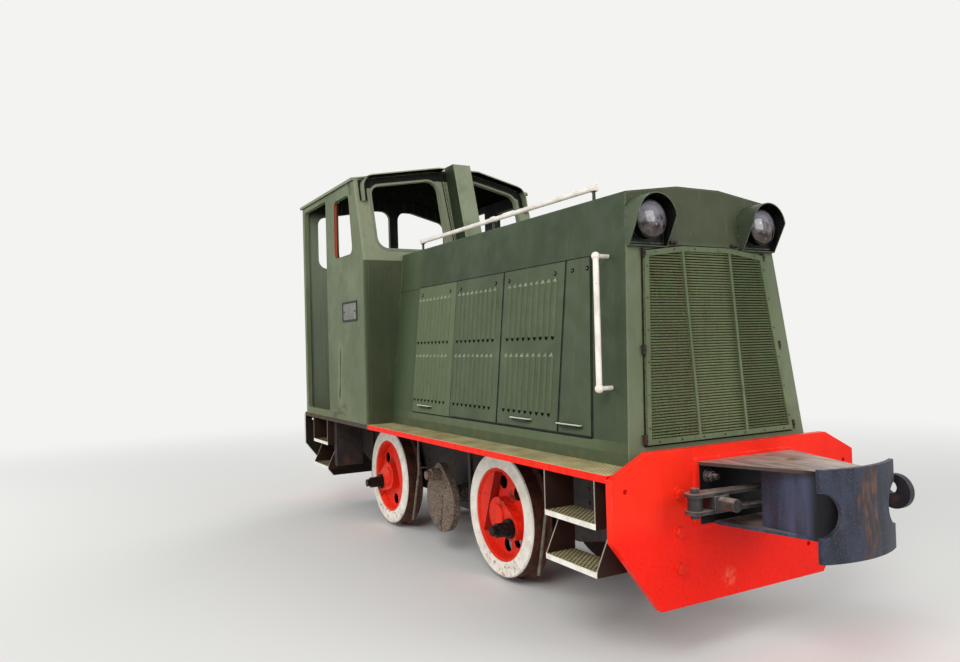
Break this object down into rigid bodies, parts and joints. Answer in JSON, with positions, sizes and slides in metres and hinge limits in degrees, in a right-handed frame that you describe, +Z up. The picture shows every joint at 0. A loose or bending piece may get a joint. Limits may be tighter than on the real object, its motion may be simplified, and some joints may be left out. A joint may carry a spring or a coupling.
{
  "type": "narrow-gauge diesel shunting locomotive",
  "caption": "Small narrow-gauge diesel locomotive with a louvred tapering hood, open rear cab, jackshaft drive and central buffer couplings.",
  "frame": {"origin": "midway between the buffers, on the centre line, at the bottom of the wheel flanges", "axes": "+X forward towards the grille, +Y to the left side, +Z up"},
  "size_m": [6.0216, 1.7, 3.0658],
  "materials": {
    "headstock_red": "weathered gloss enamel",
    "frame_black": "black paint with dust",
    "tread_plate": "worn chequer plate",
    "floor_plate": "dusty steel plate",
    "step_plate": "worn chequer plate",
    "hood_green": "chalky olive enamel",
    "cover_green": "chalky olive enamel",
    "grille_green": "chalky olive enamel",
    "lamp_green": "olive enamel",
    "lens_glass": "clear",
    "rail_white": "white enamel",
    "cab_green": "chalky olive enamel",
    "roof_green": "chalky olive enamel",
    "desk_green": "chalky olive enamel",
    "duct_green": "chalky olive enamel",
    "coupler_steel": "bare steel with rust",
    "buffer_steel": "bare steel with rust",
    "hook_iron": "forged, rusty",
    "engine_iron": "painted casting",
    "gearbox_iron": "oily casting",
    "axle_box_iron": "oily casting",
    "wheel_red": "gloss enamel",
    "tyre_steel": "white painted face, rusty tread",
    "jackshaft_iron": "dusty casting"
  },
  "bodies": {
    "chassis": {"front_end_plate": "headstock_red", "rear_end_plate": "headstock_red", "main_frame": "frame_black", "running_boards": "tread_plate", "cab_floor": "floor_plate", "front_steps": "step_plate", "cab_steps": "step_plate", "hood_side_right": "hood_green", "hood_side_left": "hood_green", "hood_roof": "hood_green", "hood_front": "hood_green", "grille": "grille_green", "headlamps": "lamp_green", "headlamp_lenses": "lens_glass", "handrails": "rail_white", "cab_side_right": "cab_green", "cab_side_left": "cab_green", "cab_front": "cab_green", "cab_rear": "cab_green", "cab_roof": "roof_green", "exhaust_duct": "duct_green", "coupler_brackets": "coupler_steel", "buffers": "buffer_steel", "draw_hooks": "hook_iron", "screw_couplings": "hook_iron", "engine": "engine_iron", "gearbox": "gearbox_iron", "axle_boxes": "axle_box_iron", "window_brows": "roof_green", "leaf_springs": "axle_box_iron", "brake_gear": "gearbox_iron", "sand_pipes": "coupler_steel", "under_floor_boxes": "frame_black", "control_desk": "desk_green", "hand_brake": "frame_black"},
    "front_wheelset": {"front_wheelset": "wheel_red", "front_tyres": "tyre_steel"},
    "rear_wheelset": {"rear_wheelset": "wheel_red", "rear_tyres": "tyre_steel"},
    "jackshaft": {"jackshaft": "jackshaft_iron"},
    "right_cover_1": {"right_cover_1": "cover_green"},
    "right_cover_2": {"right_cover_2": "cover_green"},
    "right_cover_3": {"right_cover_3": "cover_green"},
    "right_cover_4": {"right_cover_4": "cover_green"},
    "left_cover_1": {"left_cover_1": "cover_green"},
    "left_cover_2": {"left_cover_2": "cover_green"},
    "left_cover_3": {"left_cover_3": "cover_green"},
    "left_cover_4": {"left_cover_4": "cover_green"}
  },
  "joints": [
    {"name": "front_wheelset_spin", "type": "hinge", "parent": "chassis", "child": "front_wheelset", "pos_m": [0.76, 0, 0.426], "axis": [0, 1, 0], "continuous": true},
    {"name": "rear_wheelset_spin", "type": "hinge", "parent": "chassis", "child": "rear_wheelset", "pos_m": [-1.09, 0, 0.426], "axis": [0, 1, 0], "continuous": true},
    {"name": "jackshaft_spin", "type": "hinge", "parent": "chassis", "child": "jackshaft", "pos_m": [-0.02, 0, 0.426], "axis": [0, 1, 0], "continuous": true},
    {"name": "right_cover_1_hinge", "type": "hinge", "parent": "chassis", "child": "right_cover_1", "pos_m": [0.045, -0.52609, 1.96], "axis": [-1, 0, 0], "range_deg": [0, 90]},
    {"name": "right_cover_2_hinge", "type": "hinge", "parent": "chassis", "child": "right_cover_2", "pos_m": [0.6685, -0.52609, 1.96], "axis": [-1, 0, 0], "range_deg": [0, 90]},
    {"name": "right_cover_3_hinge", "type": "hinge", "parent": "chassis", "child": "right_cover_3", "pos_m": [1.308, -0.52609, 1.96], "axis": [-1, 0, 0], "range_deg": [0, 90]},
    {"name": "right_cover_4_hinge", "type": "hinge", "parent": "chassis", "child": "right_cover_4", "pos_m": [1.7585, -0.52609, 1.96], "axis": [-1, 0, 0], "range_deg": [0, 90]},
    {"name": "left_cover_1_hinge", "type": "hinge", "parent": "chassis", "child": "left_cover_1", "pos_m": [0.045, 0.52609, 1.96], "axis": [1, 0, 0], "range_deg": [0, 90]},
    {"name": "left_cover_2_hinge", "type": "hinge", "parent": "chassis", "child": "left_cover_2", "pos_m": [0.6685, 0.52609, 1.96], "axis": [1, 0, 0], "range_deg": [0, 90]},
    {"name": "left_cover_3_hinge", "type": "hinge", "parent": "chassis", "child": "left_cover_3", "pos_m": [1.308, 0.52609, 1.96], "axis": [1, 0, 0], "range_deg": [0, 90]},
    {"name": "left_cover_4_hinge", "type": "hinge", "parent": "chassis", "child": "left_cover_4", "pos_m": [1.7585, 0.52609, 1.96], "axis": [1, 0, 0], "range_deg": [0, 90]}
  ]
}
